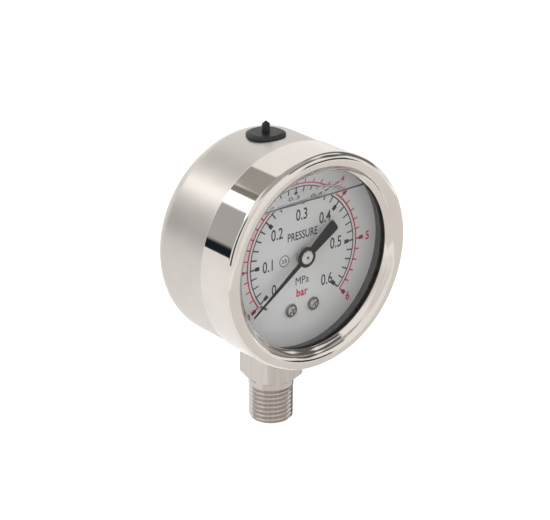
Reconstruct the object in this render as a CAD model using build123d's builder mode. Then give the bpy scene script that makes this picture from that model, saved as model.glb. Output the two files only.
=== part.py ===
from build123d import *
import os
from math import acos, asin, atan2, cos, degrees, hypot, pi, radians, sin, tan

os.makedirs("parts", exist_ok=True)

# Pressure gauge with a bottom connection, in millimetres.
# +Z is up and the dial faces -Y. The origin is the centre of the stem's lower end, on the stem's axis.
# A compass angle on the dial is counted clockwise from 12 o'clock, as the reader sees it.

# Case and bezel
case_diameter = 67.6
case_wall = 0.8
case_corner = 6.0  # outer radius of the drawn rear edge
case_rear = 16.0  # rear face, behind the stem's axis
case_depth = 31.4  # front rim to rear face
dial_height = 60.0  # dial axis above the stem's lower end
bezel_wall = 0.6
bezel_gap = 0.1  # radial, case to bezel
bezel_depth = 14.5
bezel_corner = 2.4
crown_rise = 2.8  # crown above the lip that holds the window
crease_width = 1.55  # sloping flank between the lip and the crease
crease_drop = 1.5  # crease behind the crown
sight_inset = 4.85  # from the case's inner wall to the bezel's lip

# Window and its gasket
window_thickness = 3.0
window_gap = 0.1  # radial, window to gasket
gasket_wall = 0.75
gasket_seat = 1.2  # between the window and the case's rim
gasket_lip = 0.5  # between the window and the bezel's lip
gasket_bezel_gap = 0.15
skirt_wall = 1.8
skirt_taper = 0.8

# Dial and what stands on it
dial_recess = 4.7  # dial face behind the case's rim
dial_thickness = 0.5
dial_edge_gap = 2.0  # radial, dial to case wall
dial_hole = 3.4
dial_screw_spacing = 8.7
dial_screw_drop = 17.1
dial_screw_shank = 2.0
dial_screw_head = 4.4
dial_screw_head_height = 1.5
dial_screw_depth = 3.2  # thread inside the post
recess_turn = 30.0  # cross recess, as the screws were left
post_diameter = 3.5

# Scale travel and the pointer
zero_compass = -126.0
travel = 261.0
pointer_inset = 3.15  # from the sight edge to the pointer's tip
pointer_rise = 3.4  # pointer's back face above the dial
pointer_thickness = 0.4
ring_diameter = 6.5
cap_diameter = 4.56
hub_diameter = 5.8
hub_rise = 1.2  # hub's back face above the dial
cap_rise = 4.8  # hub's front face above the dial
cap_bevel = 0.3
cap_bevel_height = 0.15
cap_hole = 0.9
blade_root_width = 1.8
blade_tip_width = 0.5
tail_length = 14.0
tail_root_width = 2.4
tail_end_width = 4.4
tail_corner = 1.0
stop_diameter = 0.9
stop_radius = 20.45
stop_height = 5.0
stop_gap = 0.03

# Stem, outside the case
thread_diameter = 14.0
thread_pitch = 1.5
thread_length = 12.0
thread_form = 0.6134  # thread depth as a share of the pitch
thread_flank = 30.0
groove_over = 0.3  # cutter's reach outside the bar
end_chamfer = 0.8
collar_diameter = 14.4
collar_height = 1.8
wrench_flats = 14.0
wrench_chamfer_angle = 30.0
port_diameter = 5.0
port_depth = 4.0
restrictor_diameter = 4.0
restrictor_length = 5.0
restrictor_hole = 0.6
restrictor_slot = 0.9
bore_diameter = 2.6
socket_gap = 0.05  # case opening to the square block

# Stem, inside the case
tongue_face = -2.0  # front face of the thinner upper part
tongue_drop = 13.0  # top of the block below the dial axis
rebate_drop = 23.8  # start of the thinner part below the dial axis
feed_diameter = 2.1  # drilled from the bore into the tube

# Bourdon tube: a flattened C round the dial axis
tube_inset = 8.5  # from the case's inner wall to the tube's centre line
tube_width = 6.4
tube_thickness = 3.0
tube_wall = 0.35
tube_y = 2.8
tube_start = 190.0
tube_end = 466.0
tube_fit = 0.06
pocket_ease = 0.3  # degrees past the tube's end
pocket_arc = 30.0  # slot in the block, run out past its side
tip_wall = 0.8
tip_start = 463.5
tip_end = 472.5

# Movement: two plates, a pinion and a toothed sector
plate_thickness = 1.0
plate_spacing = 5.0
plate_margin = 2.5
gear_module = 0.32
pinion_teeth = 12
sector_teeth = 96
pressure_angle = 20.0
backlash = 0.05
pinion_face = 2.6
pinion_addendum = 0.9  # tooth heights in modules
pinion_dedendum = 0.95
sector_addendum = 0.65
sector_dedendum = 1.15
pinion_front_gap = 1.9  # front plate to the pinion's teeth
sector_thickness = 0.8
sector_compass = 130.0  # sector's pivot, seen from the pinion
sector_hub = 2.2
sector_rim = 1.6
sector_spoke = 1.5
sector_shoulder = 0.6
tail_arm = 5.0
tail_eye = 1.3
pivot_diameter = 1.2
arbor_diameter = 1.6
pivot_gap = 0.05
link_thickness = 0.5
link_width = 2.4
link_gap = 0.4  # link to sector, along the axis
link_pin = 1.0
link_head = 2.2
link_head_height = 0.55
open_pivot_gap = 0.3  # the link's eye at the sector stays open, so it has this much room all round
tip_pivot_gap = 0.05
link_compass = 470.0
pillar_diameter = 2.6
pillar_rivet = 1.6
pillar_tapping = 2.6
pillar_places = ((8.1, -60.0), (15.8, 101.0), (13.9, 217.5))  # radius and compass angle
tab_inset = 0.5  # back plate's tab inside the block's edges
tab_drop = 8.0  # start of the tab below the dial axis
plate_screw_diameter = 1.4
plate_screw_head = 2.6
plate_screw_head_height = 0.7
movement_screw_diameter = 2.0
movement_screw_head = 3.0
movement_screw_head_height = 1.1
movement_screw_drops = (15.0, 20.6)
screw_reach = 1.5  # movement screws and posts into the block, short of the tube

# Hairspring
spring_turns = 5
spring_thickness = 0.12
spring_width = 1.0
spring_inner_radius = 1.45
spring_pitch = 0.6
spring_pinion_gap = 0.3
collet_wall = 0.5
collet_overhang = 0.1
stud_diameter = 1.0

# Fill plug
plug_y = 3.1
plug_hole = 8.0
plug_fit = 0.08
plug_flange = 12.3
plug_seat_gap = 0.15
plug_rim = 0.3  # flange edge above the top of the case
plug_crown = 0.6
plug_crown_diameter = 9.6
plug_tail = 4.0
nib_diameter = 2.5
nib_height = 3.4
nib_point = 0.9

# Sizes that follow
case_radius = case_diameter / 2
case_inner = case_radius - case_wall
rim_y = case_rear - case_depth
bezel_inner = case_radius + bezel_gap
bezel_radius = bezel_inner + bezel_wall
window_rear = rim_y - gasket_seat
window_front = window_rear - window_thickness
lip_y = window_front - gasket_lip - bezel_wall
crown_y = lip_y - crown_rise
bezel_rear = crown_y + bezel_depth
sight_radius = case_inner - sight_inset
gasket_radius = bezel_inner - gasket_bezel_gap
window_radius = gasket_radius - gasket_wall - window_gap
dial_y = rim_y + dial_recess
dial_back = dial_y + dial_thickness
dial_radius = case_inner - dial_edge_gap
pointer_y = dial_y - pointer_rise
pointer_length = sight_radius - pointer_inset
tube_radius = case_inner - tube_inset
plate_back_y = tongue_face
plate_back_front = plate_back_y - plate_thickness
plate_front_rear = plate_back_front - plate_spacing
plate_front_y = plate_front_rear - plate_thickness
pinion_y = plate_front_rear + pinion_front_gap
sector_y = pinion_y + (pinion_face + sector_thickness) / 2
sector_front = sector_y - sector_thickness
link_y = sector_front - link_gap
centre_distance = gear_module * (pinion_teeth + sector_teeth) / 2
sector_travel = travel * pinion_teeth / sector_teeth

dial_axis = Axis((0, 0, dial_height), (0, 1, 0))


def dial_plane(y):
    """Plane parallel to the dial: local x to the reader's right, local y up, normal to the front."""
    return Plane(origin=(0, y, dial_height), x_dir=(1, 0, 0), z_dir=(0, -1, 0))


def radial_plane(compass):
    """Half-section through the dial axis: local x to the rear, local y outward at this compass angle."""
    turn = radians(compass)
    return Plane(origin=(0, 0, dial_height), x_dir=(0, 1, 0), z_dir=(cos(turn), 0, -sin(turn)))


def polar(radius, compass):
    """Point on the dial plane, right and up from the dial axis."""
    return (radius * sin(radians(compass)), radius * cos(radians(compass)))


sector_pivot = polar(centre_distance, sector_compass)


def from_sector(radius, compass):
    """Point on the dial plane, by compass angle from the sector's pivot."""
    x, z = polar(radius, compass)
    return (sector_pivot[0] + x, sector_pivot[1] + z)


def save(piece, label):
    piece.part.label = label
    export_step(piece.part, f"parts/{label}.step")


# Case: a drawn cup with a plug hole at the top and a square opening for the stem at the bottom.
with BuildPart() as case:
    with BuildSketch(radial_plane(0)):
        with BuildLine():
            Polyline((rim_y, case_inner), (rim_y, case_radius), (case_rear - case_corner, case_radius))
            RadiusArc(
                (case_rear - case_corner, case_radius),
                (case_rear, case_radius - case_corner),
                case_corner,
            )
            Polyline(
                (case_rear, case_radius - case_corner),
                (case_rear, 0),
                (case_rear - case_wall, 0),
                (case_rear - case_wall, case_radius - case_corner),
            )
            RadiusArc(
                (case_rear - case_wall, case_radius - case_corner),
                (case_rear - case_corner, case_inner),
                -(case_corner - case_wall),
            )
            Line((case_rear - case_corner, case_inner), (rim_y, case_inner))
        make_face()
    revolve(axis=dial_axis)
    with BuildSketch(Plane.XY.offset(dial_height)):
        with Locations((0, plug_y)):
            Circle(plug_hole / 2)
    extrude(amount=case_radius + case_wall, mode=Mode.SUBTRACT)
    with BuildSketch(Plane.XY.offset(dial_height - case_radius - case_wall)):
        Rectangle(wrench_flats + 2 * socket_gap, wrench_flats + 2 * socket_gap)
    extrude(amount=case_radius / 2, mode=Mode.SUBTRACT)
save(case, "case")

# Bezel: rolled sheet ring with a plain side band, a rounded corner, a domed crown and a sloping lip.
flank = hypot(crease_width, crown_rise - crease_drop)
lean_y = bezel_wall * crease_width / flank
lean_r = bezel_wall * (crown_rise - crease_drop) / flank
crease = (crown_y + crease_drop, sight_radius + crease_width)
crown = (crown_y, bezel_radius - bezel_corner)
crown_back = (crown_y + bezel_wall, bezel_radius - bezel_corner)
crease_back = (crease[0] + lean_y, crease[1] + lean_r)
with BuildPart() as bezel:
    with BuildSketch(radial_plane(0)):
        with BuildLine():
            Line((bezel_rear, bezel_radius), (crown_y + bezel_corner, bezel_radius))
            RadiusArc((crown_y + bezel_corner, bezel_radius), crown, -bezel_corner)
            TangentArc(crown, crease, tangent=(0, -1))
            Polyline(
                crease,
                (lip_y, sight_radius),
                (lip_y + lean_y, sight_radius + lean_r),
                crease_back,
            )
            Line(crease_back, crown_back)
            RadiusArc(
                crown_back,
                (crown_y + bezel_corner, bezel_inner),
                bezel_corner - bezel_wall,
            )
            Polyline(
                (crown_y + bezel_corner, bezel_inner),
                (bezel_rear, bezel_inner),
                (bezel_rear, bezel_radius),
            )
        make_face()
    revolve(axis=dial_axis)
save(bezel, "bezel")

# Window: a clear disc with eased edges.
with BuildPart() as window:
    with BuildSketch(dial_plane(window_rear)):
        Circle(window_radius)
    extrude(amount=window_thickness)
    chamfer(window.edges().filter_by(GeomType.CIRCLE), length=window_thickness / 10)
save(window, "window")

# Gasket: a rubber channel round the window's edge, with a tapered skirt that reaches the dial.
skirt_foot = sight_radius + gasket_lip + skirt_taper
with BuildPart() as window_gasket:
    with BuildSketch(radial_plane(0)):
        with BuildLine():
            Polyline(
                (window_front - gasket_lip, sight_radius + gasket_lip),
                (window_front - gasket_lip, gasket_radius),
                (rim_y, gasket_radius),
                (rim_y, skirt_foot + skirt_wall),
                (dial_y, skirt_foot + skirt_wall),
                (dial_y, skirt_foot),
                (window_rear, sight_radius + gasket_lip),
                (window_rear, window_radius + window_gap),
                (window_front, window_radius + window_gap),
                (window_front, sight_radius + gasket_lip),
                close=True,
            )
        make_face()
    revolve(axis=dial_axis)
save(window_gasket, "window_gasket")

# Dial: a flat disc, pierced for the arbor, the two screws and the stop pin.
screw_spots = [(side * dial_screw_spacing / 2, -dial_screw_drop) for side in (-1, 1)]
blade_at_stop = blade_root_width + (blade_tip_width - blade_root_width) * stop_radius / pointer_length
stop_turn = degrees(asin((blade_at_stop / 2 + stop_diameter / 2 + stop_gap) / stop_radius))
stop_spot = polar(stop_radius, zero_compass - stop_turn)
with BuildPart() as dial:
    with BuildSketch(dial_plane(dial_back)):
        Circle(dial_radius)
        Circle(dial_hole / 2, mode=Mode.SUBTRACT)
        with Locations(*screw_spots):
            Circle(dial_screw_shank / 2 + pivot_gap, mode=Mode.SUBTRACT)
        with Locations(stop_spot):
            Circle(stop_diameter / 2, mode=Mode.SUBTRACT)
    extrude(amount=dial_thickness)
save(dial, "dial")

# Stop pin: riveted into the dial, where it holds the pointer at zero.
with BuildPart() as stop_pin:
    with BuildSketch(dial_plane(dial_back)):
        with Locations(stop_spot):
            Circle(stop_diameter / 2)
    extrude(amount=dial_thickness + stop_height)
    fillet(stop_pin.faces().sort_by(Axis.Y)[0].edges(), radius=stop_diameter / 4)
save(stop_pin, "stop_pin")

# Dial screws: pan heads with a cross recess, driven into the posts.
screw_grip = dial_thickness + dial_screw_depth
with BuildPart() as dial_screws:
    with BuildSketch(dial_plane(dial_y + screw_grip)):
        with Locations(*screw_spots):
            Circle(dial_screw_shank / 2)
    extrude(amount=screw_grip)
    with BuildSketch(dial_plane(dial_y)):
        with Locations(*screw_spots):
            Circle(dial_screw_head / 2)
    extrude(amount=dial_screw_head_height)
    fillet(
        dial_screws.faces().sort_by(Axis.Y)[:2].edges(),
        radius=dial_screw_head_height * 0.8,
    )
    with BuildSketch(dial_plane(dial_y - dial_screw_head_height)):
        for turn in (recess_turn, recess_turn + 90):
            with Locations(*[Location((x, z, 0), (0, 0, turn)) for x, z in screw_spots]):
                Rectangle(dial_screw_head / 2, dial_screw_head / 9)
    extrude(amount=-dial_screw_head_height * 0.6, mode=Mode.SUBTRACT)
save(dial_screws, "dial_screws")

# Dial posts: round stand-offs that clamp the back plate to the block and carry the dial.
with BuildPart() as dial_posts:
    with BuildSketch(dial_plane(plate_back_front)):
        with Locations(*screw_spots):
            Circle(post_diameter / 2)
    extrude(amount=plate_back_front - dial_back)
    with BuildSketch(dial_plane(tongue_face + screw_reach)):
        with Locations(*screw_spots):
            Circle(movement_screw_diameter / 2)
    extrude(amount=screw_reach + plate_thickness)
    with BuildSketch(dial_plane(dial_y + screw_grip)):
        with Locations(*screw_spots):
            Circle(dial_screw_shank / 2)
    extrude(amount=screw_grip, mode=Mode.SUBTRACT)
save(dial_posts, "dial_posts")

# Pointer: a stamped blade with a hub ring and a paddle tail, resting at zero.
def beside(distance, aside):
    """Point this far along the resting pointer, and this far to its right."""
    ahead = polar(distance, zero_compass)
    right = polar(aside, zero_compass + 90)
    return (ahead[0] + right[0], ahead[1] + right[1])


with BuildPart() as pointer:
    with BuildSketch(dial_plane(pointer_y)):
        Circle(ring_diameter / 2)
        Polygon(
            beside(0, tail_root_width / 2),
            beside(-tail_length, tail_end_width / 2),
            beside(-tail_length, -tail_end_width / 2),
            beside(0, -tail_root_width / 2),
            align=None,
        )
        fillet(vertices().sort_by_distance((0, 0))[-2:], radius=tail_corner)
        Polygon(
            beside(0, -blade_root_width / 2),
            beside(pointer_length, -blade_tip_width / 2),
            beside(pointer_length, blade_tip_width / 2),
            beside(0, blade_root_width / 2),
            align=None,
        )
        Circle(cap_diameter / 2, mode=Mode.SUBTRACT)
    extrude(amount=pointer_thickness)
    with BuildSketch(dial_plane(pointer_y - pointer_thickness)):
        Circle(ring_diameter / 2)
        Circle(cap_diameter / 2, mode=Mode.SUBTRACT)
    extrude(amount=pointer_thickness)
save(pointer, "pointer")

# Pointer hub: a turned boss pressed on the arbor. Its bright cap stands through the pointer's ring.
cap_y = dial_y - cap_rise
arbor_end = cap_y + pointer_thickness
with BuildPart() as pointer_hub:
    with BuildSketch(radial_plane(0)):
        Polygon(
            (dial_y - hub_rise, 0),
            (dial_y - hub_rise, hub_diameter / 2),
            (pointer_y, hub_diameter / 2),
            (pointer_y, cap_diameter / 2),
            (cap_y + cap_bevel_height, cap_diameter / 2),
            (cap_y, cap_diameter / 2 - cap_bevel),
            (cap_y, 0),
            align=None,
        )
    revolve(axis=dial_axis)
    with BuildSketch(dial_plane(dial_y - hub_rise)):
        Circle(pivot_diameter / 2)
    extrude(amount=dial_y - hub_rise - arbor_end, mode=Mode.SUBTRACT)
    with BuildSketch(dial_plane(arbor_end)):
        Circle(cap_hole / 2)
    extrude(amount=arbor_end - cap_y, mode=Mode.SUBTRACT)
save(pointer_hub, "pointer_hub")


# Gear teeth: involute flanks, thinned for backlash, as one outline per tooth.
def tooth(teeth, root, tip, compass, centre=(0, 0)):
    pitch_radius = teeth * gear_module / 2
    base = pitch_radius * cos(radians(pressure_angle))
    roll = tan(radians(pressure_angle)) - radians(pressure_angle)
    half = pi / (2 * teeth) - backlash / (4 * pitch_radius)
    steps = [max(root, base) + (tip - max(root, base)) * k / 4 for k in range(5)]
    flank_points = [(root - gear_module / 4, half + roll)]
    for r in steps:
        lean = acos(base / r) if r > base else 0.0
        flank_points.append((r, half + roll - (tan(lean) - lean)))
    left = [(r, -angle) for r, angle in flank_points]
    right = [(r, angle) for r, angle in reversed(flank_points)]
    outline = []
    for r, angle in left + right:
        x, z = polar(r, compass + degrees(angle))
        outline.append((centre[0] + x, centre[1] + z))
    return outline


pinion_pitch = pinion_teeth * gear_module / 2
pinion_root = pinion_pitch - pinion_dedendum * gear_module
pinion_tip = pinion_pitch + pinion_addendum * gear_module
sector_pitch = sector_teeth * gear_module / 2
sector_root = sector_pitch - sector_dedendum * gear_module
sector_tip = sector_pitch + sector_addendum * gear_module

# Pinion: a stepped arbor with the small gear cut in it. One tooth points at the sector's pivot at rest.
with BuildPart() as pinion:
    with BuildSketch(radial_plane(0)):
        Polygon(
            (plate_back_y - pivot_gap, 0),
            (plate_back_y - pivot_gap, pivot_diameter / 2),
            (plate_back_front - pivot_gap, pivot_diameter / 2),
            (plate_back_front - pivot_gap, arbor_diameter / 2),
            (plate_front_rear + pivot_gap, arbor_diameter / 2),
            (plate_front_rear + pivot_gap, pivot_diameter / 2),
            (arbor_end, pivot_diameter / 2),
            (arbor_end, 0),
            align=None,
        )
    revolve(axis=dial_axis)
    with BuildSketch(dial_plane(pinion_y + pinion_face)):
        Circle(pinion_root)
        for k in range(pinion_teeth):
            Polygon(
                *tooth(pinion_teeth, pinion_root, pinion_tip, sector_compass + 360 * k / pinion_teeth),
                align=None,
            )
    extrude(amount=pinion_face)
save(pinion, "pinion")

# Sector: a pierced quadrant with teeth for the whole travel, and a tail for the link.
toothing = sector_compass + 180
first_tooth = -2
last_tooth = round(sector_travel * sector_teeth / 360) + 1
arc_from = toothing + first_tooth * 360 / sector_teeth
arc_to = toothing + (last_tooth + 1) * 360 / sector_teeth
tail_compass = sector_compass + sector_travel / 2
tail_spot = from_sector(tail_arm, tail_compass)
tail_middle = from_sector(tail_arm / 2, tail_compass)
window_margin = degrees(sector_spoke / (sector_root - sector_rim))
window_inner = sector_hub + sector_rim
with BuildPart() as sector_gear:
    with BuildSketch(dial_plane(sector_y)):
        with BuildLine():
            ThreePointArc(
                from_sector(sector_root, arc_from),
                from_sector(sector_root, (arc_from + arc_to) / 2),
                from_sector(sector_root, arc_to),
            )
            Polyline(
                from_sector(sector_root, arc_to),
                sector_pivot,
                from_sector(sector_root, arc_from),
            )
        make_face()
        with BuildLine():
            ThreePointArc(
                from_sector(sector_root - sector_rim, arc_from + window_margin),
                from_sector(sector_root - sector_rim, (arc_from + arc_to) / 2),
                from_sector(sector_root - sector_rim, arc_to - window_margin),
            )
            Polyline(
                from_sector(sector_root - sector_rim, arc_to - window_margin),
                from_sector(window_inner, (arc_from + arc_to) / 2),
                from_sector(sector_root - sector_rim, arc_from + window_margin),
            )
        make_face(mode=Mode.SUBTRACT)
        for k in range(first_tooth, last_tooth + 1):
            Polygon(
                *tooth(
                    sector_teeth,
                    sector_root,
                    sector_tip,
                    toothing + (k + 0.5) * 360 / sector_teeth,
                    sector_pivot,
                ),
                align=None,
            )
        with Locations(sector_pivot):
            Circle(sector_hub)
        with Locations(Location((tail_middle[0], tail_middle[1], 0), (0, 0, 90 - tail_compass))):
            SlotCenterToCenter(tail_arm, 2 * tail_eye)
        with Locations(sector_pivot):
            Circle(arbor_diameter / 2, mode=Mode.SUBTRACT)
        with Locations(tail_spot):
            Circle(link_pin / 2, mode=Mode.SUBTRACT)
    extrude(amount=sector_thickness)
save(sector_gear, "sector_gear")

# Sector arbor: a shaft with a shoulder behind the sector and a pivot in each plate.
with BuildPart() as sector_arbor:
    with BuildSketch(dial_plane(plate_back_y - pivot_gap)):
        with Locations(sector_pivot):
            Circle(pivot_diameter / 2)
    extrude(amount=plate_back_y - plate_front_y - 2 * pivot_gap)
    with BuildSketch(dial_plane(plate_back_front - pivot_gap)):
        with Locations(sector_pivot):
            Circle(arbor_diameter / 2)
    extrude(amount=plate_spacing - 2 * pivot_gap)
    with BuildSketch(dial_plane(sector_y + sector_shoulder)):
        with Locations(sector_pivot):
            Circle(arbor_diameter)
    extrude(amount=sector_shoulder)
save(sector_arbor, "sector_arbor")

# Link: a flat bar with an eye at each end. Its eye at the sector is the wider one.
link_spot = polar(tube_radius, link_compass)
link_run = (link_spot[0] - tail_spot[0], link_spot[1] - tail_spot[1])
link_length = hypot(*link_run)
link_turn = degrees(atan2(link_run[1], link_run[0]))
link_middle = ((link_spot[0] + tail_spot[0]) / 2, (link_spot[1] + tail_spot[1]) / 2)
with BuildPart() as link:
    with BuildSketch(dial_plane(link_y)):
        with Locations(Location((link_middle[0], link_middle[1], 0), (0, 0, link_turn))):
            SlotCenterToCenter(link_length, link_width)
        with Locations(tail_spot):
            Circle(link_pin / 2 + open_pivot_gap, mode=Mode.SUBTRACT)
        with Locations(link_spot):
            Circle(link_pin / 2 + tip_pivot_gap, mode=Mode.SUBTRACT)
    extrude(amount=link_thickness)
save(link, "link")

# Link screws: shoulder screws whose heads keep the link on, one in the sector's tail and one in the tube's tip.
head_back = link_y - link_thickness - pivot_gap
with BuildPart() as link_sector_screw:
    with BuildSketch(dial_plane(sector_y)):
        with Locations(tail_spot):
            Circle(link_pin / 2)
    extrude(amount=sector_y - head_back)
    with BuildSketch(dial_plane(head_back)):
        with Locations(tail_spot):
            Circle(link_head / 2)
    extrude(amount=link_head_height)
    with BuildSketch(dial_plane(head_back - link_head_height)):
        with Locations(tail_spot):
            Rectangle(link_head, link_head / 8)
    extrude(amount=-link_head_height / 2, mode=Mode.SUBTRACT)
save(link_sector_screw, "link_sector_screw")

with BuildPart() as link_tip_screw:
    with BuildSketch(dial_plane(link_y + 2 * link_pin)):
        with Locations(link_spot):
            Circle(link_pin / 2)
    extrude(amount=link_y + 2 * link_pin - head_back)
    with BuildSketch(dial_plane(head_back)):
        with Locations(link_spot):
            Circle(link_head / 2)
    extrude(amount=link_head_height)
    with BuildSketch(dial_plane(head_back - link_head_height)):
        with Locations(link_spot):
            Rectangle(link_head, link_head / 8)
    extrude(amount=-link_head_height / 2, mode=Mode.SUBTRACT)
save(link_tip_screw, "link_tip_screw")

# Bourdon tube: flattened tube bent round the dial axis, open into the block and closed by the tip.
with BuildPart() as bourdon_tube:
    with BuildSketch(radial_plane(tube_start)):
        with Locations((tube_y, tube_radius)):
            SlotOverall(tube_width, tube_thickness)
            SlotOverall(tube_width - 2 * tube_wall, tube_thickness - 2 * tube_wall, mode=Mode.SUBTRACT)
    revolve(axis=dial_axis, revolution_arc=tube_end - tube_start)
save(bourdon_tube, "bourdon_tube")

# Tip: the end piece that closes the tube, with a lug that stands forward to the link.
pocket_width = tube_width + 2 * tube_fit
pocket_thickness = tube_thickness + 2 * tube_fit
pocket_end = tube_end + pocket_ease
with BuildPart() as bourdon_tip:
    with BuildSketch(radial_plane(tip_start)):
        with Locations((tube_y, tube_radius)):
            SlotOverall(pocket_width + 2 * tip_wall, pocket_thickness + 2 * tip_wall)
    revolve(axis=dial_axis, revolution_arc=tip_end - tip_start)
    with BuildSketch(dial_plane(tube_y)):
        with Locations(link_spot):
            Circle(tail_eye)
    extrude(amount=tube_y - link_y - pivot_gap)
    with BuildSketch(radial_plane(tip_start)):
        with Locations((tube_y, tube_radius)):
            SlotOverall(pocket_width, pocket_thickness)
    revolve(axis=dial_axis, revolution_arc=pocket_end - tip_start, mode=Mode.SUBTRACT)
    with BuildSketch(dial_plane(link_y + 2 * link_pin)):
        with Locations(link_spot):
            Circle(link_pin / 2)
    extrude(amount=2 * link_pin, mode=Mode.SUBTRACT)
save(bourdon_tip, "bourdon_tip")

# Movement plates: the back one runs down over the block, and both carry the pivots.
pillar_spots = [polar(radius, compass) for radius, compass in pillar_places]
screw_line = [(0, -drop) for drop in movement_screw_drops]
tab_width = wrench_flats - 2 * tab_inset
spring_outer = spring_inner_radius + spring_turns * spring_pitch
stud_compass = sector_compass + 180
stud_spot = polar(spring_outer + (spring_thickness + stud_diameter) / 2, stud_compass)
tab_bottom = tab_inset - rebate_drop
with BuildPart() as movement_back_plate:
    with BuildSketch(dial_plane(plate_back_y)):
        with Locations((0, 0), sector_pivot, *pillar_spots):
            Circle(plate_margin)
        make_hull()
        with Locations((0, (tab_bottom - tab_drop) / 2)):
            Rectangle(tab_width, -tab_drop - tab_bottom)
        with Locations((0, 0), sector_pivot):
            Circle(pivot_diameter / 2 + pivot_gap, mode=Mode.SUBTRACT)
        with Locations(*pillar_spots):
            Circle(pillar_rivet / 2, mode=Mode.SUBTRACT)
        with Locations(*screw_spots, *screw_line):
            Circle(movement_screw_diameter / 2 + pivot_gap, mode=Mode.SUBTRACT)
        with Locations(stud_spot):
            Circle(stud_diameter / 2, mode=Mode.SUBTRACT)
    extrude(amount=plate_thickness)
save(movement_back_plate, "movement_back_plate")

with BuildPart() as movement_front_plate:
    with BuildSketch(dial_plane(plate_front_rear)):
        with Locations((0, 0), sector_pivot, *pillar_spots):
            Circle(plate_margin)
        make_hull()
        with Locations((0, 0), sector_pivot):
            Circle(pivot_diameter / 2 + pivot_gap, mode=Mode.SUBTRACT)
        with Locations(*pillar_spots):
            Circle(plate_screw_diameter / 2 + pivot_gap, mode=Mode.SUBTRACT)
    extrude(amount=plate_thickness)
save(movement_front_plate, "movement_front_plate")

# Pillars: riveted into the back plate, tapped at the front for the plate screws.
with BuildPart() as plate_pillars:
    with BuildSketch(dial_plane(plate_back_y)):
        with Locations(*pillar_spots):
            Circle(pillar_rivet / 2)
    extrude(amount=plate_thickness)
    with BuildSketch(dial_plane(plate_back_front)):
        with Locations(*pillar_spots):
            Circle(pillar_diameter / 2)
    extrude(amount=plate_spacing)
    with BuildSketch(dial_plane(plate_front_rear + pillar_tapping)):
        with Locations(*pillar_spots):
            Circle(plate_screw_diameter / 2)
    extrude(amount=pillar_tapping, mode=Mode.SUBTRACT)
save(plate_pillars, "plate_pillars")

# Plate screws: slotted, through the front plate into the pillars.
with BuildPart() as plate_screws:
    with BuildSketch(dial_plane(plate_front_rear + pillar_tapping)):
        with Locations(*pillar_spots):
            Circle(plate_screw_diameter / 2)
    extrude(amount=pillar_tapping + plate_thickness)
    with BuildSketch(dial_plane(plate_front_y)):
        with Locations(*pillar_spots):
            Circle(plate_screw_head / 2)
    extrude(amount=plate_screw_head_height)
    with BuildSketch(dial_plane(plate_front_y - plate_screw_head_height)):
        with Locations(*pillar_spots):
            Rectangle(plate_screw_head, plate_screw_head / 8)
    extrude(amount=-plate_screw_head_height / 2, mode=Mode.SUBTRACT)
save(plate_screws, "plate_screws")

# Movement screws: slotted, through the back plate into the block.
with BuildPart() as movement_screws:
    with BuildSketch(dial_plane(tongue_face + screw_reach)):
        with Locations(*screw_line):
            Circle(movement_screw_diameter / 2)
    extrude(amount=screw_reach + plate_thickness)
    with BuildSketch(dial_plane(plate_back_front)):
        with Locations(*screw_line):
            Circle(movement_screw_head / 2)
    extrude(amount=movement_screw_head_height)
    with BuildSketch(dial_plane(plate_back_front - movement_screw_head_height)):
        with Locations(*screw_line):
            Rectangle(movement_screw_head, movement_screw_head / 8)
    extrude(amount=-movement_screw_head_height / 2, mode=Mode.SUBTRACT)
save(movement_screws, "movement_screws")

# Hairspring: flat strip wound from the collet to the stud, in half turns on two centres.
spring_back = pinion_y - spring_pinion_gap
with BuildPart() as hairspring:
    with BuildSketch(dial_plane(spring_back)):
        with Locations(Location((0, 0, 0), (0, 0, 180 - stud_compass))):
            for half_turn in range(2 * spring_turns):
                middle = spring_inner_radius + half_turn * spring_pitch / 2
                centre = (0, 0) if half_turn % 2 == 0 else (0, -spring_pitch / 2)
                side = 1 if half_turn % 2 == 0 else -1
                inner = middle - spring_thickness / 2
                outer = middle + spring_thickness / 2
                with BuildLine():
                    Line((0, centre[1] - side * inner), (0, centre[1] - side * outer))
                    ThreePointArc(
                        (0, centre[1] - side * outer),
                        (side * outer, centre[1]),
                        (0, centre[1] + side * outer),
                    )
                    Line((0, centre[1] + side * outer), (0, centre[1] + side * inner))
                    ThreePointArc(
                        (0, centre[1] + side * inner),
                        (side * inner, centre[1]),
                        (0, centre[1] - side * inner),
                    )
                make_face()
    extrude(amount=spring_width)
save(hairspring, "hairspring")

# Hairspring collet: a bush pressed on the arbor, inside the spring's first turn.
with BuildPart() as hairspring_collet:
    with BuildSketch(dial_plane(spring_back + collet_overhang)):
        Circle(arbor_diameter / 2 + collet_wall)
        Circle(arbor_diameter / 2, mode=Mode.SUBTRACT)
    extrude(amount=spring_width + 2 * collet_overhang)
save(hairspring_collet, "hairspring_collet")

# Hairspring stud: a post riveted into the back plate, where the spring's outer end is pinned.
with BuildPart() as hairspring_stud:
    with BuildSketch(dial_plane(plate_back_y)):
        with Locations(stud_spot):
            Circle(stud_diameter / 2)
    extrude(amount=plate_back_y - spring_back + spring_width)
save(hairspring_stud, "hairspring_stud")

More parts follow.
